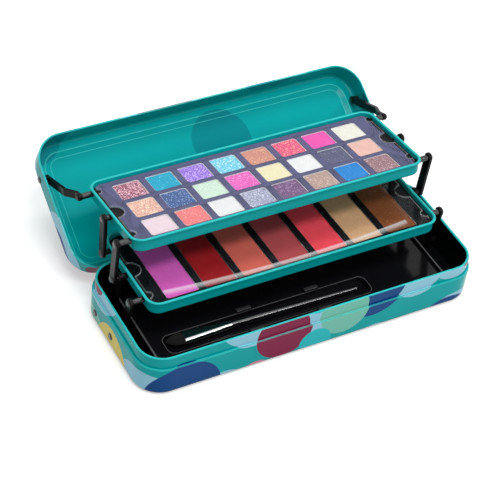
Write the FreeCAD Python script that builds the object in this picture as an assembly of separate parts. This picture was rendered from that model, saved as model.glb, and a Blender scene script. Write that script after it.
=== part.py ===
import FreeCAD, Part
import math
import os

# A three-tier hinged make-up tin, shown open. Millimetres.
# X runs along the length, -Y is the front, Z is up, and the origin is under the middle of the base.

# Sheet and rolled edges
SHEET = 0.5
BASE_CURL = 0.7
TRAY_CURL = 0.8
LID_HEM = 0.45

# Trays, both the same size
TRAY_LENGTH = 175.3
TRAY_DEPTH = 60.3
TRAY_CORNER = 7.5
TRAY_HEIGHT = 8.5
TRAY_CURL_OVERHANG = 1.2
TRAY_BOTTOM_ROUND = 1.5

# Room that the base leaves round the trays
END_ROOM = 13.55
FRONT_ROOM = 8.65
BASE_CORNER = 15.4
BASE_BOTTOM_ROUND = 2.5
STEP_HEIGHT = 18.0
STEP_ROUND = 0.8
NECK_INSET = 1.3
RIM_HEIGHT = 25.0

# Lid, drawn closed and then opened
LID_HEIGHT = 13.4
LID_SEAT_GAP = 0.2
LID_EDGE_ROUND = 2.5
LID_OPEN_ANGLE = 150.0
PANEL_MARGIN = 6.0
PANEL_STEP = 3.4
PANEL_RISE = 0.8
PANEL_CORNER = 10.0

# Hinge at the rear
KNUCKLE_RADIUS = 1.4
HINGE_DROP = 1.3
HINGE_SPREAD = 55.0
BASE_KNUCKLE = 12.0
LID_KNUCKLE = 6.0
KNUCKLE_GAP = 0.3
PIN_RADIUS = 0.7
RUNNING_GAP = 0.05
HINGE_TAB = 4.2
HINGE_TAB_THICKNESS = 1.2

# Trays at rest: place of the rim's centre, and tilt (front edge up)
LOWER_REST = (16.8, 37.3)
LOWER_TILT = -3.0
UPPER_REST = (39.7, 58.3)
UPPER_TILT = -8.4

# Pivots: the base's from its own origin, a tray's from the centre of its rim, the lid's when closed
BASE_FRONT_PIVOT = (2.4, 7.34)
BASE_REAR_PIVOT = (21.4, 6.8)
LOWER_FRONT_PIVOT = (-19.4, -3.95)
LOWER_MIDDLE_PIVOT = (1.0, -4.5)
LOWER_REAR_PIVOT = (21.5, -4.5)
UPPER_FRONT_PIVOT = (-23.04, -3.39)
UPPER_MIDDLE_PIVOT = (0.0, -3.3)
UPPER_REAR_PIVOT = (23.34, -3.3)
LID_PIVOT = (-18.9, 28.0)

# Links, arms and rivets
LINK_WIDTH = 5.4
LINK_THICKNESS = 2.2
LINK_EDGE_BEVEL = 0.4
LINK_STANDOFF = 1.95
LINK_PLANE_GAP = 1.2
ARM_WIDTH = 4.0
ARM_THICKNESS = 1.8
ARM_HEAD_GAP = 1.0
ARM_BEND_START = 12.0
ARM_BEND_END = 4.0
ARM_KNOB = 0.8
RIVET_RADIUS = 1.2
RIVET_GAP = 0.06
LOOSE_GAP = 0.35
HOLE_GAP = 0.05
COLLAR_RADIUS = 1.65
HEAD_RADIUS = 2.2
HEAD_TOP_RADIUS = 1.5
HEAD_THICKNESS = 0.6
FACE_GAP = 0.1
COLLAR_WALL_GAP = 0.2
BOSS_GAP = 0.3

# Inserts, covers, pans and powders
FIT_GAP = 0.15
INSERT_DROP = 2.8
INSERT_BOTTOM_ROUND = 1.2
POCKET_DEPTH = 4.0
POCKET_GAP = 0.15
COVER_THICKNESS = 1.0
COVER_END_GAP = 1.6
COVER_SIDE_GAP = 0.25
COVER_NOTCH = 5.4
COVER_CORNER_NOTCH = 2.4
COVER_NOTCH_PLACE = 1.5
COVER_NOTCH_PITCH = 21.0
PAN_SHEET = 0.35
PAN_HEIGHT = 3.4
PAN_CORNER = 1.4
POWDER_DROP = 0.1
POWDER_GAP = 0.02
POWDER_BEVEL = 0.25

SHADOW_PAN = (15.6, 15.0)
SHADOW_RIB = (3.6, 2.5)
CHEEK_PAN = (18.6, 50.4)
CHEEK_RIB = 3.6

SHADOW_ROWS = (
    ("rose_glitter", "teal_shimmer", "violet_glitter", "aqua",
     "copper", "coral_pink", "hot_pink", "ivory"),
    ("peach_glitter", "denim", "mint", "bright_pink",
     "butter", "white", "slate", "pale_peach"),
    ("blush_pink", "salmon", "milk", "silver_lilac",
     "plum", "rose_taupe", "bright_blue", "mauve"),
)
CHEEK_NAMES = ("orchid", "deep_red", "terracotta", "brick_rose", "coral_red", "tan", "brown")

# Liner in the base, with a well for the brush
LINER_FLOOR = 9.0
LINER_TOP = 11.0
LINER_WALL = 1.0
LINER_SKIN = 0.8
LINER_LINK_GAP = 2.1
LINER_TIN_GAP = 2.0
LINER_CORNER = 12.0
LINER_EDGE_ROUND = 0.4
WELL_FLOOR = 5.6
WELL_WIDTH = 13.0
WELL_MIDDLE = -15.8
WELL_LEFT_END = -78.5
WELL_CORNER = 4.0
WELL_END_GAP = 1.5
WELL_HAND_GAP = 6.0
CLIP_PLACES = (0.405, 0.74)
CLIP_LENGTH = 9.0
CLIP_WIDTH = 3.0
CLIP_HEIGHT = 1.4
CLIP_ROUND = 1.1

# Brush, which lies a little askew with its tip down
BRISTLE_LENGTH = 9.5
BRISTLE_TIP = (2.4, 1.0)
BRISTLE_BELLY = (3.9, 1.9)
BRISTLE_BELLY_PLACE = 3.5
FERRULE_LENGTH = 28.0
FERRULE_MOUTH = (4.2, 2.2)
FERRULE_SHEET = 0.35
HANDLE_LENGTH = 78.0
HANDLE_SHOULDER = 16.0
HANDLE_NECK = 1.9
HANDLE_BELLY = 2.3
HANDLE_TIP = 1.3
BRUSH_GAP = 0.15
BRUSH_SHIFT = 1.3
BRUSH_YAW = -0.8
BRUSH_PITCH = 0.8

# Sizes that follow from the ones above
SIDES = (("right", 1), ("left", -1))
BASE_LENGTH = TRAY_LENGTH + 2 * END_ROOM
BASE_DEPTH = TRAY_DEPTH + 2 * FRONT_ROOM
NECK_LENGTH = BASE_LENGTH - 2 * NECK_INSET
NECK_DEPTH = BASE_DEPTH - 2 * NECK_INSET
NECK_CORNER = BASE_CORNER - NECK_INSET
LID_BOTTOM = STEP_HEIGHT + LID_SEAT_GAP
LID_TOP = LID_BOTTOM + LID_HEIGHT
HINGE = (BASE_DEPTH / 2 + KNUCKLE_GAP + KNUCKLE_RADIUS, STEP_HEIGHT - HINGE_DROP)
TRAY_WALL_LENGTH = TRAY_LENGTH - 2 * TRAY_CURL_OVERHANG
TRAY_WALL_DEPTH = TRAY_DEPTH - 2 * TRAY_CURL_OVERHANG
TRAY_WALL_CORNER = TRAY_CORNER - TRAY_CURL_OVERHANG
TRAY_INSIDE = 2 * (SHEET + FIT_GAP)
INSERT_BOTTOM = SHEET - TRAY_HEIGHT
POCKET_FLOOR = -INSERT_DROP - POCKET_DEPTH
TRAY_WALL = TRAY_WALL_LENGTH / 2
INNER_PLANE = (TRAY_LENGTH / 2 + LINK_STANDOFF, TRAY_LENGTH / 2 + LINK_STANDOFF + LINK_THICKNESS)
OUTER_PLANE = (INNER_PLANE[1] + LINK_PLANE_GAP, INNER_PLANE[1] + LINK_PLANE_GAP + LINK_THICKNESS)
ARM_PLANE = (OUTER_PLANE[1] + ARM_HEAD_GAP, OUTER_PLANE[1] + ARM_HEAD_GAP + ARM_THICKNESS)
BASE_WALL = BASE_LENGTH / 2
LINER_LENGTH = 2 * (INNER_PLANE[0] - LINER_LINK_GAP)
LINER_DEPTH = BASE_DEPTH - 2 * (SHEET + LINER_TIN_GAP)
BRUSH_LENGTH = BRISTLE_LENGTH + FERRULE_LENGTH + HANDLE_LENGTH
WELL_LENGTH = BRUSH_LENGTH + WELL_END_GAP + WELL_HAND_GAP
BRUSH_PLACE = (WELL_MIDDLE + BRUSH_SHIFT, WELL_FLOOR + HANDLE_BELLY + BRUSH_GAP)


def vector(x, y, z):
    return FreeCAD.Vector(x, y, z)


def rounded_wire(length, depth, corner, z):
    """A rounded rectangle about the Z axis, starting on its front side."""
    x = length / 2
    y = depth / 2
    slant = corner * (1 - math.sqrt(0.5))
    stops = (
        (-x + corner, -y), (x - corner, -y), (x - slant, -y + slant), (x, -y + corner),
        (x, y - corner), (x - slant, y - slant), (x - corner, y),
        (-x + corner, y), (-x + slant, y - slant), (-x, y - corner),
        (-x, -y + corner), (-x + slant, -y + slant), (-x + corner, -y),
    )
    points = [vector(px, py, z) for px, py in stops]
    edges = []
    for start in range(0, 12, 3):
        edges.append(Part.LineSegment(points[start], points[start + 1]).toShape())
        edges.append(Part.Arc(*points[start + 1:start + 4]).toShape())
    return Part.Wire(edges)


def block(length, depth, corner, bottom, top):
    """An upright solid with a rounded-rectangle plan."""
    face = Part.Face(rounded_wire(length, depth, corner, bottom))
    return face.extrude(vector(0, 0, top - bottom))


def round_level(solid, z, radius):
    """Rounds the edges of a solid that lie at one height."""
    edges = [edge for edge in solid.Edges if all(abs(v.Z - z) < 1e-4 for v in edge.Vertexes)]
    return solid.makeFillet(radius, edges)


def rolled_edge(length, depth, corner, z, radius):
    """A round bead that follows a rounded rectangle."""
    path = rounded_wire(length, depth, corner, z)
    start = vector(-length / 2 + corner, -depth / 2, z)
    circle = Part.Wire(Part.Circle(start, vector(1, 0, 0), radius).toShape())
    return path.makePipeShell([circle], True, True)


def rod(start, end, radius, place):
    """A cylinder along X between two stations, at a (y, z) place."""
    return Part.makeCylinder(radius, end - start, vector(start, *place), vector(1, 0, 0))


def mirrored(shape):
    return shape.mirror(vector(0, 0, 0), vector(1, 0, 0))


def both_sides(shapes):
    """The right-hand solids with their left-hand mirror images, as one group."""
    return Part.makeCompound(list(shapes) + [mirrored(shape) for shape in shapes])


def turned(place, angle):
    """A (y, z) place turned about the X axis."""
    sine = math.sin(math.radians(angle))
    cosine = math.cos(math.radians(angle))
    return (place[0] * cosine - place[1] * sine, place[0] * sine + place[1] * cosine)


def posed(shape, angle, place):
    """A copy turned about the X axis and then moved to a (y, z) place."""
    copy = shape.copy()
    copy.rotate(vector(0, 0, 0), vector(1, 0, 0), angle)
    copy.translate(vector(0, *place))
    return copy


def pose_point(point, angle, place):
    y, z = turned(point, angle)
    return (y + place[0], z + place[1])


def in_lower(shape):
    return posed(shape, LOWER_TILT, LOWER_REST)


def in_upper(shape):
    return posed(shape, UPPER_TILT, UPPER_REST)


def in_open_lid(shape):
    copy = shape.copy()
    copy.rotate(vector(0, *HINGE), vector(1, 0, 0), -LID_OPEN_ANGLE)
    return copy


def knuckle(start, length):
    """One curl of a hinge, bored for its pin."""
    barrel = rod(start, start + length, KNUCKLE_RADIUS, HINGE)
    return barrel, rod(start - 1, start + length + 1, PIN_RADIUS + RUNNING_GAP, HINGE)


def base_tin():
    body = block(BASE_LENGTH, BASE_DEPTH, BASE_CORNER, 0, STEP_HEIGHT)
    body = round_level(body, 0, BASE_BOTTOM_ROUND)
    body = round_level(body, STEP_HEIGHT, STEP_ROUND)
    neck_top = RIM_HEIGHT - BASE_CURL
    neck = block(NECK_LENGTH, NECK_DEPTH, NECK_CORNER, SHEET, neck_top)
    shell_top = STEP_HEIGHT - SHEET
    hollow = block(BASE_LENGTH - 2 * SHEET, BASE_DEPTH - 2 * SHEET, BASE_CORNER - SHEET, SHEET, shell_top)
    hollow = round_level(hollow, SHEET, BASE_BOTTOM_ROUND - SHEET)
    throat = block(NECK_LENGTH - 2 * SHEET, NECK_DEPTH - 2 * SHEET, NECK_CORNER - SHEET,
                   shell_top - SHEET, RIM_HEIGHT)
    curl = rolled_edge(NECK_LENGTH - 2 * BASE_CURL, NECK_DEPTH - 2 * BASE_CURL,
                       NECK_CORNER - BASE_CURL, neck_top, BASE_CURL)
    tin = body.fuse(neck).cut(hollow).cut(throat).fuse(curl)
    tab_front = BASE_DEPTH / 2 - SHEET / 2
    tab_height = HINGE_TAB + KNUCKLE_RADIUS
    for middle in (-HINGE_SPREAD, HINGE_SPREAD):
        barrel, bore = knuckle(middle - BASE_KNUCKLE / 2, BASE_KNUCKLE)
        tab = Part.makeBox(BASE_KNUCKLE, HINGE[0] - tab_front, tab_height,
                           vector(middle - BASE_KNUCKLE / 2, tab_front, HINGE[1] - tab_height))
        tin = tin.fuse(barrel).fuse(tab).cut(bore)
    for place in (BASE_FRONT_PIVOT, BASE_REAR_PIVOT):
        tin = tin.cut(rod(-BASE_LENGTH, BASE_LENGTH, RIVET_RADIUS + HOLE_GAP, place))
    return tin.removeSplitter()


def lid_tin():
    shell = block(BASE_LENGTH, BASE_DEPTH, BASE_CORNER, LID_BOTTOM, LID_TOP)
    shell = round_level(shell, LID_TOP, LID_EDGE_ROUND)
    ceiling = LID_TOP - SHEET
    hollow = block(BASE_LENGTH - 2 * SHEET, BASE_DEPTH - 2 * SHEET, BASE_CORNER - SHEET,
                   LID_BOTTOM - SHEET, ceiling)
    hollow = round_level(hollow, ceiling, LID_EDGE_ROUND - SHEET)

    def panel(level):
        low = rounded_wire(BASE_LENGTH - 2 * PANEL_MARGIN, BASE_DEPTH - 2 * PANEL_MARGIN,
                           PANEL_CORNER, level)
        inset = PANEL_MARGIN + PANEL_STEP
        high = rounded_wire(BASE_LENGTH - 2 * inset, BASE_DEPTH - 2 * inset,
                            PANEL_CORNER - PANEL_STEP, level + PANEL_RISE)
        return Part.makeLoft([low, high], True, True)

    hem = rolled_edge(BASE_LENGTH, BASE_DEPTH, BASE_CORNER, LID_BOTTOM + LID_HEM, LID_HEM)
    tin = shell.fuse(panel(LID_TOP)).cut(hollow).cut(panel(ceiling)).fuse(hem)
    reach = BASE_KNUCKLE / 2 + KNUCKLE_GAP
    tab_back = HINGE[0] - BASE_DEPTH / 2 - KNUCKLE_RADIUS + 2 * HINGE_TAB_THICKNESS
    for middle in (-HINGE_SPREAD, HINGE_SPREAD):
        for start in (middle - reach - LID_KNUCKLE, middle + reach):
            barrel, bore = knuckle(start, LID_KNUCKLE)
            upper = Part.makeBox(LID_KNUCKLE, tab_back + SHEET / 2, HINGE_TAB,
                                 vector(start, BASE_DEPTH / 2 - SHEET / 2, LID_BOTTOM + 2 * LID_HEM))
            lower = Part.makeBox(LID_KNUCKLE, HINGE_TAB_THICKNESS, LID_BOTTOM + HINGE_TAB - HINGE[1],
                                 vector(start, BASE_DEPTH / 2 + HINGE_TAB_THICKNESS, HINGE[1]))
            tin = tin.fuse(barrel).fuse(upper).fuse(lower).cut(bore)
    tin = tin.cut(rod(-BASE_LENGTH, BASE_LENGTH, RIVET_RADIUS + HOLE_GAP, LID_PIVOT))
    return in_open_lid(tin.removeSplitter())


def hinge_pins():
    half = BASE_KNUCKLE / 2 + KNUCKLE_GAP + LID_KNUCKLE
    return Part.makeCompound([rod(x - half, x + half, PIN_RADIUS, HINGE)
                              for x in (-HINGE_SPREAD, HINGE_SPREAD)])


def tray_tin(pivots):
    """A drawn tray with a rolled rim, its rim's centre at the origin."""
    wall_top = -TRAY_CURL
    shell = block(TRAY_WALL_LENGTH, TRAY_WALL_DEPTH, TRAY_WALL_CORNER, -TRAY_HEIGHT, wall_top)
    shell = round_level(shell, -TRAY_HEIGHT, TRAY_BOTTOM_ROUND)
    hollow = block(TRAY_WALL_LENGTH - 2 * SHEET, TRAY_WALL_DEPTH - 2 * SHEET, TRAY_WALL_CORNER - SHEET,
                   INSERT_BOTTOM, 0)
    hollow = round_level(hollow, INSERT_BOTTOM, TRAY_BOTTOM_ROUND - SHEET)
    curl = rolled_edge(TRAY_LENGTH - 2 * TRAY_CURL, TRAY_DEPTH - 2 * TRAY_CURL, TRAY_CORNER - TRAY_CURL,
                       wall_top, TRAY_CURL)
    tin = shell.cut(hollow).fuse(curl)
    for place in pivots:
        tin = tin.cut(rod(-TRAY_LENGTH, TRAY_LENGTH, RIVET_RADIUS + HOLE_GAP, place))
    return tin.removeSplitter()


def grid(counts, pan, ribs):
    """Centres of a grid of pans, rear row first and left to right."""
    columns, rows = counts
    pitch_x = pan[0] + ribs[0]
    pitch_y = pan[1] + ribs[1]
    return [[((column - (columns - 1) / 2) * pitch_x, ((rows - 1) / 2 - row) * pitch_y)
             for column in range(columns)] for row in range(rows)]


def at_place(solid, place):
    copy = solid.copy()
    copy.translate(vector(place[0], place[1], 0))
    return copy


def insert(places, pan):
    """A black insert that fills a tray, with one pocket for each pan."""
    body = block(TRAY_WALL_LENGTH - TRAY_INSIDE, TRAY_WALL_DEPTH - TRAY_INSIDE,
                 TRAY_WALL_CORNER - SHEET - FIT_GAP, INSERT_BOTTOM, -INSERT_DROP)
    body = round_level(body, INSERT_BOTTOM, INSERT_BOTTOM_ROUND)
    pocket = block(pan[0] + 2 * POCKET_GAP, pan[1] + 2 * POCKET_GAP, PAN_CORNER + POCKET_GAP,
                   POCKET_FLOOR, 0)
    return body.cut(Part.makeCompound([at_place(pocket, place) for place in places]))


def pan_tin(pan):
    """A small open tin pan that stands on the pocket's floor."""
    tin = block(pan[0], pan[1], PAN_CORNER, POCKET_FLOOR, POCKET_FLOOR + PAN_HEIGHT)
    return tin.cut(block(pan[0] - 2 * PAN_SHEET, pan[1] - 2 * PAN_SHEET, PAN_CORNER - PAN_SHEET,
                         POCKET_FLOOR + PAN_SHEET, 0))


def powder(pan):
    """A pressed cake of powder with a bevelled top edge."""
    inside = 2 * (PAN_SHEET + POWDER_GAP)
    top = POCKET_FLOOR + PAN_HEIGHT - POWDER_DROP
    corner = PAN_CORNER - PAN_SHEET - POWDER_GAP
    cake = block(pan[0] - inside, pan[1] - inside, corner, POCKET_FLOOR + PAN_SHEET, top)
    edges = [edge for edge in cake.Edges if all(abs(v.Z - top) < 1e-4 for v in edge.Vertexes)]
    return cake.makeChamfer(POWDER_BEVEL, edges)


def cover():
    """A clear sheet over the insert, with finger notches in its two ends."""
    length = TRAY_WALL_LENGTH - TRAY_INSIDE - 2 * COVER_END_GAP
    sheet = block(length, TRAY_WALL_DEPTH - TRAY_INSIDE - 2 * COVER_SIDE_GAP,
                  TRAY_WALL_CORNER - SHEET - FIT_GAP - COVER_SIDE_GAP,
                  -INSERT_DROP, COVER_THICKNESS - INSERT_DROP)
    for x in (-length / 2, length / 2):
        for steps, radius in ((0, COVER_NOTCH), (1, COVER_CORNER_NOTCH), (-1, COVER_CORNER_NOTCH)):
            y = COVER_NOTCH_PLACE + steps * COVER_NOTCH_PITCH
            sheet = sheet.cut(Part.makeCylinder(radius, TRAY_HEIGHT, vector(x, y, -TRAY_HEIGHT)))
    return sheet


def strip(length, width, start, end):
    """A flat bar along Y with round ends, from the origin to its far pivot."""
    half = width / 2
    points = [vector(start, *place) for place in (
        (0, -half), (length, -half), (length + half, 0), (length, half), (0, half), (-half, 0))]
    wire = Part.Wire([
        Part.LineSegment(points[0], points[1]).toShape(), Part.Arc(*points[1:4]).toShape(),
        Part.LineSegment(points[3], points[4]).toShape(),
        Part.Arc(points[4], points[5], points[0]).toShape(),
    ])
    return Part.Face(wire).extrude(vector(end - start, 0, 0))


def along(shape, start, end):
    """Lays a bar drawn along Y between two (y, z) pivots."""
    angle = math.degrees(math.atan2(end[1] - start[1], end[0] - start[0]))
    return posed(shape, angle, start)


def link(start, end, plane, far_gap):
    """A right-hand link between two pivots, with its edges eased and its ends bored."""
    length = math.dist(start, end)
    bar = strip(length, LINK_WIDTH, *plane)
    rims = [edge for edge in bar.Edges if abs(edge.BoundBox.XLength) < 1e-6]
    bar = bar.makeChamfer(LINK_EDGE_BEVEL, rims)
    for y, gap in ((0, RIVET_GAP), (length, far_gap)):
        bar = bar.cut(rod(plane[0] - 1, plane[1] + 1, RIVET_RADIUS + gap, (y, 0)))
    return along(bar, start, end)


def lid_arm(start, end):
    """A right-hand lid arm: a flat bar that steps inward near the tray, with a knob on that end."""
    length = math.dist(start, end)
    tray_face = OUTER_PLANE[0]
    blank = strip(length, ARM_WIDTH, tray_face, ARM_PLANE[1])
    stops = ((-ARM_WIDTH, ARM_PLANE[0]), (length - ARM_BEND_START, ARM_PLANE[0]),
             (length - ARM_BEND_END, tray_face), (length + ARM_WIDTH, tray_face))
    near = [vector(x, y, -ARM_WIDTH) for y, x in stops]
    far = [vector(x + ARM_THICKNESS, y, -ARM_WIDTH) for y, x in reversed(stops)]
    section = Part.Face(Part.makePolygon(near + far + near[:1]))
    bar = blank.common(section.extrude(vector(0, 0, 2 * ARM_WIDTH)))
    bar = bar.cut(rod(tray_face, ARM_PLANE[1] + 1, RIVET_RADIUS + RIVET_GAP, (0, 0)))
    knob_face = tray_face + ARM_THICKNESS
    knob = Part.makeCone(ARM_WIDTH / 2, HEAD_TOP_RADIUS, ARM_KNOB, vector(knob_face, length, 0), vector(1, 0, 0))
    return along(bar.fuse(knob), start, end)


def rivet(wall, planes, place):
    """A right-hand shouldered rivet, from a wall outward through links in one or two planes."""
    solid = rod(wall - SHEET, planes[-1][1] + FACE_GAP, RIVET_RADIUS, place)
    shoulder = wall
    for plane in planes:
        solid = solid.fuse(rod(shoulder, plane[0] - FACE_GAP, COLLAR_RADIUS, place))
        shoulder = plane[1] + FACE_GAP
    head = Part.makeCone(HEAD_RADIUS, HEAD_TOP_RADIUS, HEAD_THICKNESS, vector(shoulder, *place), vector(1, 0, 0))
    return solid.fuse(head).removeSplitter()


def wall_rivet(outside, plane, head_thickness, place):
    """A right-hand rivet with its head outside a wall, reaching inward through one bar."""
    wall = outside - SHEET - COLLAR_WALL_GAP
    inner = plane[0] - FACE_GAP
    head = Part.makeCone(HEAD_RADIUS, HEAD_TOP_RADIUS, HEAD_THICKNESS, vector(outside, *place), vector(1, 0, 0))
    collar = rod(plane[1] + FACE_GAP, wall, COLLAR_RADIUS, place)
    shank = rod(inner, outside, RIVET_RADIUS, place)
    clinch = rod(inner - head_thickness, inner, COLLAR_RADIUS, place)
    return head.fuse(collar).fuse(shank).fuse(clinch).removeSplitter()


def tray_boss(place):
    """A right-hand boss on the tray's wall, where the lid arm's knob sits."""
    solid = rod(TRAY_WALL - SHEET, TRAY_WALL, RIVET_RADIUS, place)
    return solid.fuse(rod(TRAY_WALL, OUTER_PLANE[0] - BOSS_GAP, COLLAR_RADIUS, place)).removeSplitter()


def base_liner():
    body = block(LINER_LENGTH, LINER_DEPTH, LINER_CORNER, SHEET, LINER_TOP)
    body = round_level(body, LINER_TOP, LINER_EDGE_ROUND)
    inside = block(LINER_LENGTH - 2 * LINER_WALL, LINER_DEPTH - 2 * LINER_WALL, LINER_CORNER - LINER_WALL,
                   LINER_FLOOR, LINER_TOP + 1)
    under = block(LINER_LENGTH - 2 * LINER_WALL, LINER_DEPTH - 2 * LINER_WALL, LINER_CORNER - LINER_WALL,
                  SHEET - 1, LINER_FLOOR - LINER_SKIN)
    middle = (WELL_LEFT_END + WELL_LENGTH / 2, WELL_MIDDLE)
    trough = block(WELL_LENGTH + 2 * LINER_SKIN, WELL_WIDTH + 2 * LINER_SKIN, WELL_CORNER + LINER_SKIN,
                   WELL_FLOOR - LINER_SKIN, LINER_FLOOR)
    well = block(WELL_LENGTH, WELL_WIDTH, WELL_CORNER, WELL_FLOOR, LINER_TOP)
    liner = body.cut(inside).cut(under).fuse(at_place(trough, middle)).cut(at_place(well, middle))
    for share in CLIP_PLACES:
        x = WELL_LEFT_END + share * WELL_LENGTH - CLIP_LENGTH / 2
        for y in (WELL_MIDDLE + WELL_WIDTH / 2, WELL_MIDDLE - WELL_WIDTH / 2 - CLIP_WIDTH):
            clip = Part.makeBox(CLIP_LENGTH, CLIP_WIDTH, CLIP_HEIGHT + LINER_SKIN,
                                vector(x, y, LINER_FLOOR - LINER_SKIN))
            clip = round_level(clip, LINER_FLOOR + CLIP_HEIGHT, CLIP_ROUND)
            liner = liner.fuse(clip)
    return liner.removeSplitter()


def slot_wire(x, half_width, half_height):
    """An upright outline round the X axis, flat above and below and round at its sides."""
    side = half_width - half_height
    points = [vector(x, *place) for place in (
        (-side, -half_height), (side, -half_height), (half_width, 0),
        (side, half_height), (-side, half_height), (-half_width, 0))]
    return Part.Wire([
        Part.LineSegment(points[0], points[1]).toShape(), Part.Arc(*points[1:4]).toShape(),
        Part.LineSegment(points[3], points[4]).toShape(),
        Part.Arc(points[4], points[5], points[0]).toShape()])


def brush():
    """Bristles, ferrule and handle, drawn along X and then laid in the well."""
    tip = WELL_LEFT_END + WELL_END_GAP
    mouth = tip + BRISTLE_LENGTH
    neck = mouth + FERRULE_LENGTH
    belly = neck + HANDLE_SHOULDER
    end = neck + HANDLE_LENGTH
    along_x = vector(1, 0, 0)
    root = [size - FERRULE_SHEET for size in FERRULE_MOUTH]
    bristles = Part.makeLoft([slot_wire(tip, *BRISTLE_TIP), slot_wire(tip + BRISTLE_BELLY_PLACE, *BRISTLE_BELLY),
                              slot_wire(mouth, *root)], True, False)
    collar = HANDLE_NECK + FERRULE_SHEET
    ferrule = Part.makeLoft([slot_wire(mouth, *FERRULE_MOUTH), slot_wire(neck, collar, HANDLE_NECK)], True, True)
    shoulder = Part.makeCone(HANDLE_NECK, HANDLE_BELLY, HANDLE_SHOULDER, vector(neck, 0, 0), along_x)
    shaft = Part.makeCone(HANDLE_BELLY, HANDLE_TIP, end - HANDLE_TIP - belly, vector(belly, 0, 0), along_x)
    knob = Part.makeSphere(HANDLE_TIP, vector(end - HANDLE_TIP, 0, 0))
    handle = shoulder.fuse(shaft).fuse(knob).removeSplitter()
    for piece in (bristles, ferrule, handle):
        piece.rotate(vector(belly, 0, 0), vector(0, 1, 0), BRUSH_PITCH)
        piece.rotate(vector(belly, 0, 0), vector(0, 0, 1), BRUSH_YAW)
        piece.translate(vector(0, *BRUSH_PLACE))
    return bristles, ferrule, handle


def build():
    nodes = {}
    nodes["base_tin"] = base_tin()
    nodes["lid_tin"] = lid_tin()
    nodes["hinge_pins"] = hinge_pins()
    nodes["base_liner"] = base_liner()
    nodes["brush_bristles"], nodes["brush_ferrule"], nodes["brush_handle"] = brush()

    nodes["lower_tray_tin"] = in_lower(tray_tin((LOWER_FRONT_PIVOT, LOWER_MIDDLE_PIVOT, LOWER_REAR_PIVOT)))
    nodes["upper_tray_tin"] = in_upper(tray_tin((UPPER_FRONT_PIVOT, UPPER_MIDDLE_PIVOT, UPPER_REAR_PIVOT)))

    cheek_places = grid((len(CHEEK_NAMES), 1), CHEEK_PAN, (CHEEK_RIB, 0))
    shadow_places = grid((len(SHADOW_ROWS[0]), len(SHADOW_ROWS)), SHADOW_PAN, SHADOW_RIB)
    cheek_flat = cheek_places[0]
    shadow_flat = [place for row in shadow_places for place in row]
    nodes["lower_insert"] = in_lower(insert(cheek_flat, CHEEK_PAN))
    nodes["upper_insert"] = in_upper(insert(shadow_flat, SHADOW_PAN))
    nodes["lower_cover"] = in_lower(cover())
    nodes["upper_cover"] = in_upper(cover())

    cheek_pan = pan_tin(CHEEK_PAN)
    shadow_pan = pan_tin(SHADOW_PAN)
    nodes["lower_pans"] = in_lower(Part.makeCompound([at_place(cheek_pan, p) for p in cheek_flat]))
    nodes["upper_pans"] = in_upper(Part.makeCompound([at_place(shadow_pan, p) for p in shadow_flat]))
    cheek_cake = powder(CHEEK_PAN)
    for name, place in zip(CHEEK_NAMES, cheek_flat):
        nodes["cheek_" + name] = in_lower(at_place(cheek_cake, place))
    shadow_cake = powder(SHADOW_PAN)
    for names, places in zip(SHADOW_ROWS, shadow_places):
        for name, place in zip(names, places):
            nodes["shadow_" + name] = in_upper(at_place(shadow_cake, place))

    lower = {name: pose_point(pivot, LOWER_TILT, LOWER_REST) for name, pivot in (
        ("front", LOWER_FRONT_PIVOT), ("middle", LOWER_MIDDLE_PIVOT), ("rear", LOWER_REAR_PIVOT))}
    upper = {name: pose_point(pivot, UPPER_TILT, UPPER_REST) for name, pivot in (
        ("front", UPPER_FRONT_PIVOT), ("middle", UPPER_MIDDLE_PIVOT), ("rear", UPPER_REAR_PIVOT))}
    lid_offset = (LID_PIVOT[0] - HINGE[0], LID_PIVOT[1] - HINGE[1])
    lid_place = pose_point(lid_offset, -LID_OPEN_ANGLE, HINGE)
    bars = {
        "lower_front_link": link(BASE_FRONT_PIVOT, lower["front"], OUTER_PLANE, LOOSE_GAP),
        "lower_rear_link": link(BASE_REAR_PIVOT, lower["middle"], INNER_PLANE, RIVET_GAP),
        "upper_front_link": link(lower["middle"], upper["front"], OUTER_PLANE, LOOSE_GAP),
        "upper_rear_link": link(lower["rear"], upper["middle"], INNER_PLANE, RIVET_GAP),
        "lid_arm": lid_arm(lid_place, upper["rear"]),
    }
    for name, bar in bars.items():
        for side, sign in SIDES:
            nodes[name + "_" + side] = bar if sign > 0 else mirrored(bar)

    nodes["base_rivets"] = both_sides([
        wall_rivet(BASE_WALL, OUTER_PLANE, HEAD_THICKNESS, BASE_FRONT_PIVOT),
        wall_rivet(BASE_WALL, INNER_PLANE, FACE_GAP + HEAD_THICKNESS / 2, BASE_REAR_PIVOT)])
    nodes["lower_tray_rivets"] = in_lower(both_sides([
        rivet(TRAY_WALL, (OUTER_PLANE,), LOWER_FRONT_PIVOT),
        rivet(TRAY_WALL, (INNER_PLANE, OUTER_PLANE), LOWER_MIDDLE_PIVOT),
        rivet(TRAY_WALL, (INNER_PLANE,), LOWER_REAR_PIVOT)]))
    nodes["upper_tray_rivets"] = in_upper(both_sides([
        rivet(TRAY_WALL, (OUTER_PLANE,), UPPER_FRONT_PIVOT),
        rivet(TRAY_WALL, (INNER_PLANE,), UPPER_MIDDLE_PIVOT),
        tray_boss(UPPER_REAR_PIVOT)]))
    nodes["lid_rivets"] = in_open_lid(both_sides([
        wall_rivet(BASE_WALL, ARM_PLANE, HEAD_THICKNESS / 2, LID_PIVOT)]))
    return nodes


os.makedirs("parts", exist_ok=True)
for node, solid in build().items():
    solid.exportStep("parts/" + node + ".step")
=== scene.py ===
import math
import random

import bpy
from mathutils import Matrix, Vector


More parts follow.
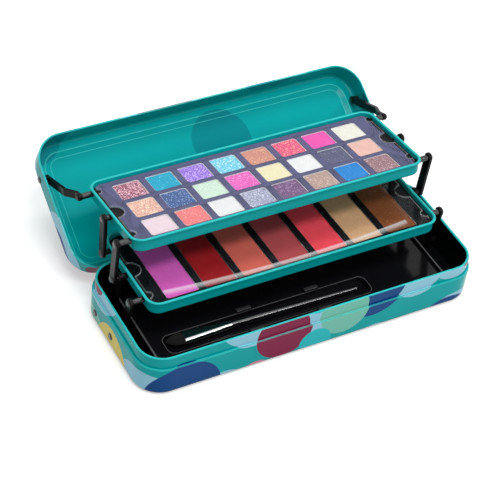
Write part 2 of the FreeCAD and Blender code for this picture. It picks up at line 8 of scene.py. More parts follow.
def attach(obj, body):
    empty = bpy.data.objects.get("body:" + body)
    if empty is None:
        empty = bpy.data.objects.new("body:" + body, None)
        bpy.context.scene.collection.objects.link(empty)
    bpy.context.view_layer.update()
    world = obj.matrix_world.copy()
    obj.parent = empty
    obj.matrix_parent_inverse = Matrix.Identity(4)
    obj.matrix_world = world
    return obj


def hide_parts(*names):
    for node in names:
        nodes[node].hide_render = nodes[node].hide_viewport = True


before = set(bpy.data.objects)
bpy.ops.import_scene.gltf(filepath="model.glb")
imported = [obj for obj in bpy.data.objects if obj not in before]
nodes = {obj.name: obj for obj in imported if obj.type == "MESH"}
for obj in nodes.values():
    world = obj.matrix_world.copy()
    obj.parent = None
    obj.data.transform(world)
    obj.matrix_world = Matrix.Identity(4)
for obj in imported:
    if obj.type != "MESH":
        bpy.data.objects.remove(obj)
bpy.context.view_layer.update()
scene = bpy.context.scene
MM = 0.001

# Camera: turn in degrees, target in millimetres, distance in metres, lens in pixels of the picture
AZIMUTH = -33.65
ELEVATION = 42.27
ROLL = 8.31
TARGET = (-22.16, 10.0, 57.02)
DISTANCE = 0.87874
PICTURE = 500.0
FOCAL_PIXELS = 1692.85
CENTRE_PIXELS = (247.89, 218.92)
SENSOR = 36.0

# The object's sizes from here on are in millimetres, and its angles in degrees

# Hinge axis (y, z) and opening angle of the lid, whose paint is laid out as on the shut lid
HINGE = (40.5, 16.7)
LID_ANGLE = 150.0

# Plan of the tin, and how far inside it a point still lies on the outer face
HALF_LENGTH = 101.2
HALF_DEPTH = 38.8
CORNER = 15.4
OUTER_FACE = -0.25

# Base: the set-back neck, the step below it, the rim, and the lacquered part of the inside; the step
# and the rim's crest get a painted highlight
NECK_BOTTOM = 17.9
NECK_INSET = 1.3
STEP_HEIGHTS = (17.45, 18.05)
STEP_DEPTH = -0.8
RIM_CREST = 24.6
LACQUER_HEIGHTS = (0.25, 23.3)

# Lid: the hem and the edges of the embossed panel, which get a painted highlight, and how far up a face
# looks that belongs to the top
HEM_TOP = 18.7
PANEL_EDGES = ((-6.4, -5.8), (-9.7, -9.2))
PANEL_HEIGHT = 30.9
TOP_FACING = 0.3

# Trays at rest (y, z, tilt), and the crest of their rims below the top, which gets a painted highlight
LOWER_TRAY = (16.8, 37.3, -3.0)
UPPER_TRAY = (39.7, 58.3, -8.4)
TRAY_CREST = -0.45

# Liner: its lip, its clips with the strength of their highlight, and the brush's well (half length,
# half depth, corner) with its edge; the lip, the clip tops and the well's edge get a painted highlight
LIP_CREST = 10.75
CLIP_CREST = (10.1, 10.45)
CLIP_HIGHLIGHT = 0.3
WELL_PLACE = (-17.0, -15.8)
WELL_SIZE = (61.5, 6.5, 4.0)
WELL_EDGE = (-0.2, 0.3)
WELL_CREST = (8.6, 9.2)

# Clear covers: half length, notches in the ends (place along the end, radius), and cut edges with the
# strength of their painted highlight
COVER_HALF = 84.2
COVER_NOTCHES = ((1.5, 5.4), (22.5, 2.4), (-19.5, 2.4))
COVER_IOR = 1.15
CUT_EDGE = 0.3
CUT_EDGE_HIGHLIGHT = 0.15
NOTCH_HIGHLIGHT = 0.2
BARE_END = 0.9

# Painted reflection: a streak of milky haze along the front of the lower cover
STREAK = (-27.4, -23.5)
STREAK_ENDS = (-76.0, 71.0)
STREAK_BOW = 0.0007
STREAK_REFLECTION = 0.3

# Brush along X: tip of the bristles, mouth and neck of the ferrule (half width, half height), belly
BRUSH_TIP = -77.0
BRUSH_MOUTH = -67.5
BRUSH_NECK = -39.5
BRUSH_BELLY = -23.5
BRUSH_PLACE = (0.0, -14.5, 8.05)
BRUSH_ASKEW = 0.8
MOUTH_SIZE = (4.2, 2.2)
NECK_SIZE = (2.25, 1.9)

# Hairs: each step of a hair is its share of the length, its spread and its radius
HAIR_COUNT = 420
HAIR_SEED = 7
HAIR_SIDES = 4
HAIR_SPREAD = (3.75, 1.75)
HAIR_STEPS = ((0.0, 1.0, 0.1), (0.4, 1.02, 0.1), (0.75, 0.86, 0.08), (1.0, 0.6, 0.02))
HAIR_DOME = 0.22
HAIR_UNEVEN = 0.08
HAIR_LEAN = 0.15

# Crimp rings on the ferrule
CRIMP_PLACES = (-45.6, -43.2)
CRIMP_THICKNESS = 0.22
CRIMP_WIDENING = 1.6
CRIMP_LOOPS = 48
CRIMP_SPOKES = 8

# Stage: sizes and places in metres, strengths, and lamps (name, place, size, power)
FLOOR_HALF = 3.0
FLOOR_TONE = (0.82, 0.82, 0.82, 1)
FLOOR_GLOW = 0.42
WORLD_LIGHT = 0.34
WORLD_WHITE = 1.0
LAMP_AIM = (0, 0.02, 0.03)
LAMPS = (
    ("top", (0.1, 0.35, 1.1), (1.1, 0.2), 4.4),
    ("key", (-0.05, -0.34, 1.1), (0.6, 0.3), 5.5),
    ("strip", (0.6, -0.85, 0.8), (0.7, 0.05), 2.6),
)


# Camera

def add_camera():
    azimuth, elevation, roll = (math.radians(v) for v in (AZIMUTH, ELEVATION, ROLL))
    out = Vector((math.sin(azimuth) * math.cos(elevation),
                  -math.cos(azimuth) * math.cos(elevation),
                  math.sin(elevation)))
    right = (-out).cross(Vector((0, 0, 1))).normalized()
    up = right.cross(-out)
    turned = math.cos(roll) * right + math.sin(roll) * up
    upright = math.cos(roll) * up - math.sin(roll) * right
    data = bpy.data.cameras.new("camera")
    data.sensor_fit = "HORIZONTAL"
    data.sensor_width = SENSOR
    data.lens = FOCAL_PIXELS * SENSOR / PICTURE
    data.shift_x = (PICTURE / 2 - CENTRE_PIXELS[0]) / PICTURE
    data.shift_y = (CENTRE_PIXELS[1] - PICTURE / 2) / PICTURE
    data.clip_start = 0.01
    camera = bpy.data.objects.new("camera", data)
    scene.collection.objects.link(camera)
    turn = Matrix((turned, upright, out)).transposed().to_4x4()
    camera.matrix_world = Matrix.Translation(Vector(TARGET) * MM + out * DISTANCE) @ turn
    scene.camera = camera


add_camera()


# Colours

def linear(red, green, blue):
    """A colour as written for a screen, as light."""
    values = []
    for value in (red, green, blue):
        share = value / 255.0
        values.append(share / 12.92 if share <= 0.04045 else ((share + 0.055) / 1.055) ** 2.4)
    return (*values, 1.0)


def times(colour, factor):
    """A colour with more or less light."""
    return (*(v * factor for v in colour[:3]), 1.0)


TEAL = linear(0, 172, 173)
TEAL_DEEP = linear(0, 158, 161)
TEAL_DARK = linear(0, 138, 146)
# Painted highlight on the crests of the enamel
HIGHLIGHT_TEAL = linear(80, 240, 233)
LACQUER = (0.004, 0.006, 0.007, 1)
BLACK = (0.006, 0.006, 0.008, 1)
# Painted highlight on the liner's edges
HIGHLIGHT_GREY = (0.16, 0.16, 0.17, 1)
INSERT_BLACK = (0.003, 0.003, 0.004, 1)
LINK_BLACK = (0.004, 0.0035, 0.0035, 1)
STEEL_DARK = (0.005, 0.005, 0.005, 1)
STEEL_PALE = (0.016, 0.016, 0.017, 1)
# Painted reflection of the upper cover over the black insert
REFLECTED_SLATE_DARK = linear(88, 90, 128)
REFLECTED_SLATE_PALE = linear(107, 107, 145)
HAIR_DARK = linear(14, 12, 12)
HAIR_PALE = linear(46, 42, 42)
CLEAR = (0.97, 0.985, 0.99, 1)
FERRULE = (0.78, 0.79, 0.8, 1)
WIDE_PAN = (0.6, 0.6, 0.61, 1)
SMALL_PAN = (0.86, 0.86, 0.88, 1)
WHITE = (1, 1, 1, 1)

# Colour, spacing, radius and place of each layer of dots in the print, from the lowest layer up
DOTS = (
    (linear(150, 205, 226), 46.0, 18.5, (11.0, 3.0, 25.0)),
    (linear(12, 72, 134), 58.0, 21.0, (-24.0, 8.0, 30.0)),
    (linear(135, 32, 72), 66.0, 21.0, (31.0, 14.0, 52.0)),
    (linear(120, 196, 178), 60.0, 15.0, (5.0, 40.0, 9.0)),
    (linear(226, 208, 96), 62.0, 17.0, (48.0, 21.0, 11.0)),
    (linear(228, 130, 158), 70.0, 14.0, (60.0, 33.0, 40.0)),
    (linear(40, 190, 196), 52.0, 10.0, (19.0, 44.0, 21.0)),
)
DOT_SPREAD = 0.55

# The soft dots inside the lid
SOFT_SHIFT = (7.0, 19.0, 3.0)
SOFT_SPACING = 52.0
SOFT_SHARE = 0.4

# Matt powders: colour
MATT = {
    "shadow_hot_pink": (250, 80, 175),
    "shadow_ivory": (243, 236, 221),
    "shadow_butter": (250, 230, 190),
    "shadow_white": (241, 242, 241),
    "shadow_pale_peach": (234, 186, 174),
    "shadow_blush_pink": (241, 212, 220),
    "shadow_milk": (236, 237, 236),
    "cheek_orchid": (216, 92, 186),
    "cheek_deep_red": (150, 0, 12),
    "cheek_terracotta": (206, 94, 80),
    "cheek_brick_rose": (172, 68, 72),
    "cheek_coral_red": (240, 68, 82),
}

# Powders that sparkle: colour, share of flakes, colour of the flakes
SPARKLING = {
    "shadow_rose_glitter": ((146, 70, 94), 0.34, (244, 196, 210)),
    "shadow_teal_shimmer": ((0, 164, 198), 0.04, (120, 225, 240)),
    "shadow_violet_glitter": ((150, 112, 222), 0.2, (225, 200, 250)),
    "shadow_aqua": ((114, 206, 236), 0.14, (225, 250, 252)),
    "shadow_copper": ((206, 140, 124), 0.1, (245, 190, 150)),
    "shadow_coral_pink": ((238, 86, 130), 0.16, (255, 170, 160)),
    "shadow_peach_glitter": ((232, 176, 160), 0.2, (255, 232, 205)),
    "shadow_denim": ((62, 92, 148), 0.16, (150, 175, 215)),
    "shadow_mint": ((208, 232, 213), 0.06, (245, 255, 240)),
    "shadow_bright_pink": ((236, 100, 190), 0.1, (255, 180, 230)),
    "shadow_slate": ((84, 86, 116), 0.05, (150, 150, 180)),
    "shadow_salmon": ((250, 124, 126), 0.08, (255, 185, 175)),
    "shadow_silver_lilac": ((158, 160, 186), 0.18, (225, 228, 245)),
    "shadow_plum": ((116, 82, 124), 0.14, (180, 150, 185)),
    "shadow_rose_taupe": ((180, 152, 142), 0.1, (230, 210, 200)),
    "shadow_bright_blue": ((0, 130, 208), 0.015, (120, 190, 245)),
    "shadow_mauve": ((152, 112, 120), 0.1, (215, 190, 192)),
    "cheek_tan": ((208, 160, 118), 0.05, (225, 190, 150)),
    "cheek_brown": ((120, 62, 22), 0.03, (165, 115, 75)),
}

# Flakes: their size, the share above which some lie in shade, and how metallic the lit ones are
FLAKE_SIZE = 0.5
FLAKE_SHADE_FROM = 0.1
FLAKE_METALLIC = 0.35


# Materials

class Paint:
    """A material with a short way to add and join its nodes. Lengths are in millimetres."""

    def __init__(self, name):
        self.material = bpy.data.materials.new(name)
        self.material.use_nodes = True
        self.tree = self.material.node_tree
        self.shader = self.tree.nodes["Principled BSDF"]

    def put(self, socket, value):
        if isinstance(value, bpy.types.NodeSocket):
            self.tree.links.new(value, socket)
        else:
            socket.default_value = value

    def fill(self, node, inputs):
        for name, value in inputs.items():
            self.put(node.inputs[name.replace("_", " ")], value)

    def set(self, **inputs):
        self.fill(self.shader, inputs)

    def add(self, kind, **inputs):
        made = self.tree.nodes.new(kind)
        self.fill(made, inputs)
        return made

    def math(self, operation, first, second=0.0):
        made = self.add("ShaderNodeMath")
        made.operation = operation
        self.put(made.inputs[0], first)
        self.put(made.inputs[1], second)
        return made.outputs[0]

    def product(self, first, second):
        return self.math("MULTIPLY", first, second)

    def larger(self, first, second):
        return self.math("MAXIMUM", first, second)

    def above(self, value, limit):
        return self.math("GREATER_THAN", value, limit)

    def below(self, value, limit):
        return self.math("LESS_THAN", value, limit)

    def band(self, value, low, high):
        """1 where a value lies between two limits."""
        return self.product(self.above(value, low), self.below(value, high))

    def squares(self, first, second):
        """The sum of two squares."""
        return self.math("ADD", self.product(first, first), self.product(second, second))

    def vector(self, operation, first, second):
        made = self.add("ShaderNodeVectorMath")
        made.operation = operation
        self.put(made.inputs[0], first)
        self.put(made.inputs[1], second)
        return made.outputs["Value" if operation == "DOT_PRODUCT" else "Vector"]

    def mix(self, factor, first, second):
        made = self.add("ShaderNodeMix")
        made.data_type = "RGBA"
        self.put(made.inputs[0], factor)
        self.put(made.inputs[6], first)
        self.put(made.inputs[7], second)
        return made.outputs[2]

    def place(self):
        """The point in the object's own frame."""
        source = self.add("ShaderNodeTexCoord").outputs["Object"]
        return self.vector("MULTIPLY", source, (1 / MM, 1 / MM, 1 / MM))

    def axes(self, point):
        return self.add("ShaderNodeSeparateXYZ", Vector=point).outputs

    def noise(self, point, size, detail=2.0, roughness=0.5):
        made = self.add("ShaderNodeTexNoise", Vector=point, Scale=1.0 / size, Detail=detail,
                        Roughness=roughness)
        return made.outputs[0]

    def cells(self, point, size, spread=1.0):
        made = self.add("ShaderNodeTexVoronoi", Vector=point, Scale=1.0 / size, Randomness=spread)
        return made.outputs

    def scaled(self, value, low, high):
        """A value from 0 to 1, brought between two limits."""
        return self.add("ShaderNodeMapRange", Value=value, To_Min=low, To_Max=high).outputs[0]

    def bump(self, height, strength, depth):
        made = self.add("ShaderNodeBump", Height=height, Strength=strength, Distance=depth * MM)
        self.set(Normal=made.outputs["Normal"])


def tray_axes(paint, point, tray):
    """The point along the axes of a tray, from the middle of the tray's rim."""
    y, z, tilt = tray
    back = paint.vector("ADD", point, (0.0, -y, -z))
    level = paint.add("ShaderNodeMapping", Vector=back, Rotation=(math.radians(-tilt), 0, 0))
    return paint.axes(level.outputs[0])


def box_depth(paint, x, y, half_length, half_depth, corner):
    """How far a point lies outside a rounded box in plan, or inside it as a negative number."""
    across = paint.math("SUBTRACT", paint.math("ABSOLUTE", x), half_length - corner)
    deep = paint.math("SUBTRACT", paint.math("ABSOLUTE", y), half_depth - corner)
    beyond = paint.squares(paint.larger(across, 0.0), paint.larger(deep, 0.0))
    inner = paint.math("MINIMUM", paint.larger(across, deep), 0.0)
    return paint.math("SUBTRACT", paint.math("ADD", paint.math("SQRT", beyond), inner), corner)


def enamel(paint, point, colour, crest):
    """Glossy enamel on sheet: uneven gloss, a faint orange peel, and a painted highlight along the
    crests.
    """
    # Painted highlight: the crests are mixed towards a bright teal, in a varying strength
    highlight_strength = paint.scaled(paint.noise(point, 5.0, 3.0), 0.15, 0.6)
    highlit = paint.mix(paint.product(crest, highlight_strength), colour, HIGHLIGHT_TEAL)
    gloss = paint.scaled(paint.noise(point, 9.0), 0.12, 0.22)
    paint.set(Base_Color=highlit, Roughness=gloss, Specular_IOR_Level=0.04,
              Coat_Weight=0.22, Coat_Roughness=0.03, Coat_IOR=1.25)
    paint.bump(paint.noise(point, 0.9), 0.05, 0.02)
    return paint.material


def teal(paint, point):
    """The plain enamel, slightly cloudy."""
    return paint.mix(paint.noise(point, 30.0), TEAL_DEEP, TEAL)


def tray_tin(name, tray):
    paint = Paint(name)
    point = paint.place()
    # Painted highlight on the crest of the rim
    crest = paint.above(tray_axes(paint, point, tray)[2], TRAY_CREST)
    return enamel(paint, point, teal(paint, point), crest)


def dotted(paint, point, ground):
    """Flat round dots of several colours on a ground."""
    colour = ground
    for dot, spacing, radius, shift in DOTS:
        moved = paint.vector("ADD", point, shift)
        distance = paint.cells(moved, spacing, DOT_SPREAD)["Distance"]
        colour = paint.mix(paint.below(distance, radius / spacing), colour, dot)
    return colour


def printed_base():
    """Dots outside, black lacquer inside, plain teal under the floor and at the rim, and a painted
    highlight on the step and the rim's crest.
    """
    paint = Paint("printed_base")
    point = paint.place()
    x, y, z = paint.axes(point)
    depth = box_depth(paint, x, y, HALF_LENGTH, HALF_DEPTH, CORNER)
    inset = paint.product(paint.above(z, NECK_BOTTOM), -NECK_INSET)
    outside = paint.above(depth, paint.math("ADD", OUTER_FACE, inset))
    ground = teal(paint, point)
    inside = paint.mix(paint.band(z, *LACQUER_HEIGHTS), ground, LACQUER)
    # Painted highlight on the step and the rim's crest
    step = paint.product(paint.band(z, *STEP_HEIGHTS), paint.above(depth, STEP_DEPTH))
    crest = paint.larger(paint.above(z, RIM_CREST), step)
    colour = paint.mix(outside, inside, dotted(paint, point, ground))
    return enamel(paint, point, colour, crest)


def printed_lid():
    """Dots outside, soft dark dots on teal inside, and a painted highlight on the hem and the edges of
    the panel.
    """
    paint = Paint("printed_lid")
    angle = math.radians(LID_ANGLE)
    sine = math.sin(angle)
    cosine = math.cos(angle)
    y, z = HINGE
    shift = (0.0, y - (y * cosine - z * sine), z - (y * sine + z * cosine))
    shut = paint.add("ShaderNodeMapping", Vector=paint.place(), Location=shift, Rotation=(angle, 0, 0))
    point = shut.outputs[0]
    x, y, z = paint.axes(point)
    depth = box_depth(paint, x, y, HALF_LENGTH, HALF_DEPTH, CORNER)
    facing = paint.add("ShaderNodeTexCoord").outputs["Normal"]
    top = paint.vector("DOT_PRODUCT", facing, (0.0, sine, cosine))
    outside = paint.larger(paint.above(depth, OUTER_FACE), paint.above(top, TOP_FACING))
    ground = teal(paint, point)
    moved = paint.vector("ADD", point, SOFT_SHIFT)
    soft = paint.cells(moved, SOFT_SPACING, DOT_SPREAD)["Distance"]
    inside = paint.mix(paint.below(soft, SOFT_SHARE), ground, TEAL_DARK)
    # Painted highlight on the edges of the embossed panel and on the hem
    panel = paint.larger(*(paint.band(depth, *edge) for edge in PANEL_EDGES))
    emboss = paint.product(panel, paint.above(z, PANEL_HEIGHT))
    crest = paint.larger(paint.below(z, HEM_TOP), emboss)
    colour = paint.mix(outside, inside, dotted(paint, point, ground))
    return enamel(paint, point, colour, crest)


def handled(paint, point, roughness):
    """Roughness with dust and handling marks."""
    marks = paint.noise(point, 6.0, 5.0, 0.62)
    return paint.scaled(marks, *roughness)


def black_plastic(name, colour, roughness, specular, grain=0.1, coat=0.0):
    """Formed or moulded black plastic or lacquer."""
    paint = Paint(name)
    point = paint.place()
    tone = paint.mix(paint.noise(point, 14.0), colour, times(colour, 1.5))
    paint.set(Base_Color=tone, Roughness=handled(paint, point, roughness),
              Specular_IOR_Level=specular, Coat_Weight=coat, Coat_Roughness=0.05)
    paint.bump(paint.noise(point, 0.5, 3.0), grain, 0.03)
    return paint.material


def liner_plastic():
    """Glossy formed plastic with a painted highlight along its lip, its clips and the brush's well."""
    paint = Paint("liner_plastic")
    point = paint.place()
    x, y, z = paint.axes(point)
    along = paint.math("SUBTRACT", x, WELL_PLACE[0])
    across = paint.math("SUBTRACT", y, WELL_PLACE[1])
    well = paint.band(box_depth(paint, along, across, *WELL_SIZE), *WELL_EDGE)
    edge = paint.product(well, paint.band(z, *WELL_CREST))
    clips = paint.product(paint.band(z, *CLIP_CREST), CLIP_HIGHLIGHT)
    lip = paint.larger(paint.above(z, LIP_CREST), clips)
    highlight_strength = paint.scaled(paint.noise(point, 7.0, 3.0), 0.35, 1.0)
    crest = paint.product(paint.larger(edge, lip), highlight_strength)
    # Painted highlight: the lip, the clip tops and the well's edge are mixed towards grey
    paint.set(Base_Color=paint.mix(crest, BLACK, HIGHLIGHT_GREY), Specular_IOR_Level=0.2,
              Roughness=handled(paint, point, (0.05, 0.2)))
    paint.bump(paint.noise(point, 0.5, 3.0), 0.08, 0.03)
    return paint.material


def black_steel():
    paint = Paint("black_steel")
    marks = paint.noise(paint.place(), 1.2, 4.0)
    paint.set(Base_Color=paint.mix(marks, STEEL_DARK, STEEL_PALE), Specular_IOR_Level=0.6,
              Roughness=paint.scaled(marks, 0.12, 0.32))
    paint.bump(marks, 0.1, 0.05)
    return paint.material


def bare_metal(name, colour, stretch, roughness, metallic=1.0):
    """Bare metal with fine lines along X."""
    paint = Paint(name)
    drawn = paint.vector("MULTIPLY", paint.place(), (stretch, 1.0, 1.0))
    lines = paint.noise(drawn, 0.4, 4.0, 0.6)
    paint.set(Base_Color=paint.mix(lines, times(colour, 0.82), colour), Metallic=metallic,
              Roughness=paint.scaled(lines, roughness, roughness + 0.15))
    paint.bump(lines, 0.08, 0.02)
    return paint.material


def cover_inset(paint, x):
    """How far a point lies inside the end of a cover."""
    return paint.math("SUBTRACT", COVER_HALF, paint.math("ABSOLUTE", x))


def notch(paint, inset, y, place, radius):
    """1 inside a round notch in the end of a cover."""
    away = paint.math("SUBTRACT", y, place)
    return paint.below(paint.squares(away, inset), radius * radius)


def insert_under_painted_reflection():
    """Black plastic under a painted reflection of the cover in slate tones, left black at the two ends
    where the cover's notches bare it.
    """
    paint = Paint("upper_insert")
    point = paint.place()
    x, y, _ = tray_axes(paint, point, UPPER_TRAY)
    inset = cover_inset(paint, x)
    bare = paint.below(inset, BARE_END)
    for place, radius in COVER_NOTCHES:
        bare = paint.larger(bare, notch(paint, inset, y, place, radius))
    grain = paint.noise(point, 1.1, 4.0, 0.6)
    # Painted reflection: the slate tone stands in for the light the cover reflects over the black
    # plastic
    tone = paint.mix(grain, REFLECTED_SLATE_DARK, REFLECTED_SLATE_PALE)
    paint.set(Base_Color=paint.mix(bare, tone, INSERT_BLACK), Specular_IOR_Level=0.15,
              Roughness=paint.scaled(grain, 0.4, 0.6))
    paint.bump(grain, 0.08, 0.03)
    return paint.material


def reflection_streak(paint, x, y):
    """A painted reflection: a bowed streak along the front of a cover, which fades towards the front.
    """
    across = paint.math("SUBTRACT", y, paint.product(paint.product(x, x), STREAK_BOW))
    front, back = STREAK
    fade = paint.math("DIVIDE", paint.math("SUBTRACT", across, front), back - front)
    inside = paint.product(paint.band(across, front, back), paint.band(x, *STREAK_ENDS))
    return paint.product(paint.product(inside, fade), STREAK_REFLECTION)


def clear_cover(name, tray, with_reflection_streak):
    """A clear rigid sheet that lets the lamps through to what it covers, with a painted highlight as
    milky haze at its cut edges and notch rims.
    """
    paint = Paint(name)
    point = paint.place()
    x, y, _ = tray_axes(paint, point, tray)
    inset = cover_inset(paint, x)
    # Painted highlight: less light passes at the cut edges and notch rims, which then show milky
    painted_light = paint.product(paint.below(inset, CUT_EDGE), CUT_EDGE_HIGHLIGHT)
    for place, radius in COVER_NOTCHES:
        ring = notch(paint, inset, y, place, radius + CUT_EDGE)
        painted_light = paint.larger(painted_light, paint.product(ring, NOTCH_HIGHLIGHT))
    # Painted reflection: a milky streak along the front of the lower cover
    if with_reflection_streak:
        painted_light = paint.larger(painted_light, reflection_streak(paint, x, y))
    marks = paint.noise(point, 11.0, 4.0, 0.6)
    paint.set(Base_Color=CLEAR, Roughness=paint.scaled(marks, 0.0, 0.05), IOR=COVER_IOR,
              Transmission_Weight=paint.math("SUBTRACT", 1.0, painted_light))
    paint.bump(paint.noise(point, 40.0, 1.0), 0.03, 0.2)
    path = paint.add("ShaderNodeLightPath").outputs
    join = paint.add("ShaderNodeMixShader")
    paint.put(join.inputs[0], paint.larger(path["Is Shadow Ray"], path["Is Diffuse Ray"]))
    paint.put(join.inputs[1], paint.shader.outputs[0])
    paint.put(join.inputs[2], paint.add("ShaderNodeBsdfTransparent").outputs[0])
    paint.put(paint.tree.nodes["Material Output"].inputs["Surface"], join.outputs[0])
    return paint.material


def powder(name, colour, share=0.0, flake=None):
    """A pressed cake: fine grain, faint press marks, and flakes where it sparkles."""
    paint = Paint(name)
    point = paint.place()
    grain = paint.noise(point, 0.35, 4.0, 0.7)
    cloud = paint.noise(point, 4.5, 3.0)
    pale = (*(min(0.92, v * 1.12 + 0.012) for v in colour[:3]), 1.0)
    tone = paint.mix(cloud, times(colour, 0.86), pale)
    tone = paint.mix(paint.product(grain, 0.35), tone, pale)
    if share:
        chance = paint.axes(paint.cells(point, FLAKE_SIZE)["Color"])
        lit = paint.above(chance[0], 1.0 - share)
        if share > FLAKE_SHADE_FROM:
            shaded = paint.below(chance[1], share - FLAKE_SHADE_FROM)
            tone = paint.mix(shaded, tone, times(colour, 0.6))
        tone = paint.mix(lit, tone, flake)
        paint.set(Metallic=paint.product(lit, FLAKE_METALLIC),
                  Roughness=paint.scaled(chance[2], 0.3, 0.7))
        paint.bump(paint.math("ADD", grain, chance[2]), 0.15, 0.1)
    else:
        paint.set(Roughness=0.72)
        paint.bump(paint.math("ADD", grain, paint.product(cloud, 0.6)), 0.25, 0.12)
    paint.set(Base_Color=tone, Specular_IOR_Level=0.15)
    return paint.material


def bristle_hair():
    paint = Paint("brush_hair")
    drawn = paint.vector("MULTIPLY", paint.place(), (0.06, 1.0, 1.0))
    tone = paint.mix(paint.noise(drawn, 0.3, 3.0), HAIR_DARK, HAIR_PALE)
    paint.set(Base_Color=tone, Roughness=0.5)
    return paint.material


dress = {
    "base_tin": printed_base(),
    "lid_tin": printed_lid(),
    "brush_handle": black_plastic("brush_lacquer", BLACK, (0.05, 0.21), 1.0, grain=0.005, coat=1.0),
    "brush_ferrule": bare_metal("brush_ferrule", FERRULE, 0.05, 0.1),
    "lower_tray_tin": tray_tin("lower_tray_tin", LOWER_TRAY),
    "upper_tray_tin": tray_tin("upper_tray_tin", UPPER_TRAY),
    "base_liner": liner_plastic(),
    "lower_cover": clear_cover("lower_cover", LOWER_TRAY, True),
    "upper_cover": clear_cover("upper_cover", UPPER_TRAY, False),
    "lower_pans": bare_metal("lower_pans", WIDE_PAN, 0.2, 0.28),
    "upper_pans": bare_metal("upper_pans", SMALL_PAN, 0.2, 0.4, metallic=0.4),
    "lower_insert": black_plastic("lower_insert", INSERT_BLACK, (0.45, 0.61), 0.12),
    "upper_insert": insert_under_painted_reflection(),
}
link_plastic = black_plastic("black_link", LINK_BLACK, (0.2, 0.36), 0.11)
rivet_steel = black_steel()
for name in nodes:
    if name in MATT:
        dress[name] = powder(name, linear(*MATT[name]))
    elif name in SPARKLING:
        colour, share, flake = SPARKLING[name]
        dress[name] = powder(name, linear(*colour), share, linear(*flake))
    elif "_link_" in name or "_arm_" in name:
        dress[name] = link_plastic
    elif name.endswith(("_rivets", "_pins")):
        dress[name] = rivet_steel


# Brush

def add_mesh(name, points, faces, material, smooth=False):
    mesh = bpy.data.meshes.new(name)
    mesh.from_pydata(points, [], faces)
    mesh.polygons.foreach_set("use_smooth", [smooth] * len(faces))
    mesh.update()
    mesh.materials.append(material)
    made = bpy.data.objects.new(name, mesh)
    scene.collection.objects.link(made)
    return made


def brush_turn():
    """Lays the brush, drawn along X, askew in its well."""
    return (Matrix.Translation(BRUSH_PLACE) @ Matrix.Translation((BRUSH_BELLY, 0, 0))
            @ Matrix.Rotation(math.radians(-BRUSH_ASKEW), 4, "Z")
            @ Matrix.Rotation(math.radians(BRUSH_ASKEW), 4, "Y")
            @ Matrix.Translation((-BRUSH_BELLY, 0, 0)))


def add_bristles():
    """A bundle of tapering hairs in the place of the plain bundle."""
    turn = brush_turn()
    chance = random.Random(HAIR_SEED)
    points = []
    faces = []
    for _ in range(HAIR_COUNT):
        angle = chance.uniform(0, 2 * math.pi)
        reach = math.sqrt(chance.random())
        side = HAIR_SPREAD[0] * reach * math.cos(angle)
        rise = HAIR_SPREAD[1] * reach * math.sin(angle)
        shorter = HAIR_DOME * reach * reach
        length = (BRUSH_MOUTH - BRUSH_TIP) * (1.0 - shorter - chance.uniform(0.0, HAIR_UNEVEN))
        lean = chance.uniform(-HAIR_LEAN, HAIR_LEAN)
        first = len(points)
        for share, spread, radius in HAIR_STEPS:
            for corner in range(HAIR_SIDES):
                bend = 2 * math.pi * (corner + 0.5) / HAIR_SIDES
                local = Vector((BRUSH_MOUTH - share * length,
                                side * spread + lean * share + radius * math.cos(bend),
                                rise * spread + radius * math.sin(bend)))
                points.append(turn @ local * MM)
        last = len(points) - HAIR_SIDES
        for ring in range(first, last, HAIR_SIDES):
            for corner in range(HAIR_SIDES):
                near = ring + corner
                beside = ring + (corner + 1) % HAIR_SIDES
                faces.append((near, near + HAIR_SIDES, beside + HAIR_SIDES, beside))
        faces.append(tuple(range(first, first + HAIR_SIDES)))
        faces.append(tuple(reversed(range(last, last + HAIR_SIDES))))
    hairs = add_mesh("bristle_hairs", points, faces, bristle_hair())
    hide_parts("brush_bristles")
    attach(hairs, "base")


def add_crimp(name, place):
    """A pressed ring that holds the ferrule on the handle."""
    turn = brush_turn()
    share = (place - BRUSH_MOUTH) / (BRUSH_NECK - BRUSH_MOUTH)
    half_width, half_height = (a + (b - a) * share for a, b in zip(MOUTH_SIZE, NECK_SIZE))
    points = []
    faces = []
    for step in range(CRIMP_LOOPS):
        angle = 2 * math.pi * step / CRIMP_LOOPS
        out = Vector((0, math.cos(angle), math.sin(angle)))
        side = math.copysign(half_width - half_height, math.cos(angle))
        middle = Vector((place, side, 0)) + out * half_height
        near = step * CRIMP_SPOKES
        beside = (step + 1) % CRIMP_LOOPS * CRIMP_SPOKES
        for spoke in range(CRIMP_SPOKES):
            bend = 2 * math.pi * spoke / CRIMP_SPOKES
            along = Vector((CRIMP_WIDENING * math.sin(bend), 0, 0))
            points.append(turn @ (middle + CRIMP_THICKNESS * (out * math.cos(bend) + along)) * MM)
            following = (spoke + 1) % CRIMP_SPOKES
            faces.append((near + spoke, near + following, beside + following, beside + spoke))
    ring = add_mesh(name, points, faces, dress["brush_ferrule"], smooth=True)
    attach(ring, "base")


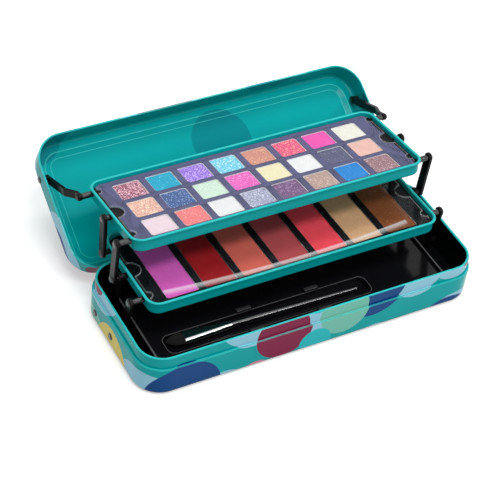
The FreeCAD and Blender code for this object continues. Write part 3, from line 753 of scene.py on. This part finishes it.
add_bristles()
for number, place in enumerate(CRIMP_PLACES):
    add_crimp("ferrule_crimp_%d" % (number + 1), place)

for name, coat in dress.items():
    target = nodes[name]
    if not target.material_slots:
        target.data.materials.append(coat)
    for holder in target.material_slots:
        holder.material = coat


# Floor, world and lamps

def seen(tree):
    """1 where a surface is looked at, mirrored or seen through glass, 0 where it only lights others."""
    path = tree.nodes.new("ShaderNodeLightPath")
    total = path.outputs["Is Camera Ray"]
    for other in ("Is Glossy Ray", "Is Transmission Ray"):
        made = tree.nodes.new("ShaderNodeMath")
        made.operation = "MAXIMUM"
        tree.links.new(total, made.inputs[0])
        tree.links.new(path.outputs[other], made.inputs[1])
        total = made.outputs[0]
    return total


def add_floor():
    paint = Paint("floor")
    paint.set(Base_Color=FLOOR_TONE, Roughness=0.9, Specular_IOR_Level=0.0, Emission_Color=WHITE,
              Emission_Strength=paint.product(seen(paint.tree), FLOOR_GLOW))
    corners = [(x * FLOOR_HALF, y * FLOOR_HALF, 0) for x, y in ((-1, -1), (1, -1), (1, 1), (-1, 1))]
    floor = add_mesh("floor", corners, [(0, 1, 2, 3)], paint.material)


def add_world():
    world = bpy.data.worlds.new("studio")
    scene.world = world
    world.use_nodes = True
    tree = world.node_tree
    back = tree.nodes["Background"]
    back.inputs["Color"].default_value = WHITE
    made = tree.nodes.new("ShaderNodeMapRange")
    tree.links.new(seen(tree), made.inputs["Value"])
    made.inputs["To Min"].default_value = WORLD_LIGHT
    made.inputs["To Max"].default_value = WORLD_WHITE
    tree.links.new(made.outputs[0], back.inputs["Strength"])


def add_lamp(name, place, size, power):
    data = bpy.data.lights.new(name, "AREA")
    data.shape = "RECTANGLE"
    data.size, data.size_y = size
    data.energy = power
    lamp = bpy.data.objects.new(name, data)
    scene.collection.objects.link(lamp)
    lamp.location = place
    aim = Vector(LAMP_AIM) - Vector(place)
    lamp.rotation_euler = aim.to_track_quat("-Z", "Y").to_euler()


add_floor()
add_world()
for lamp in LAMPS:
    add_lamp(*lamp)
scene.view_settings.view_transform = "Standard"
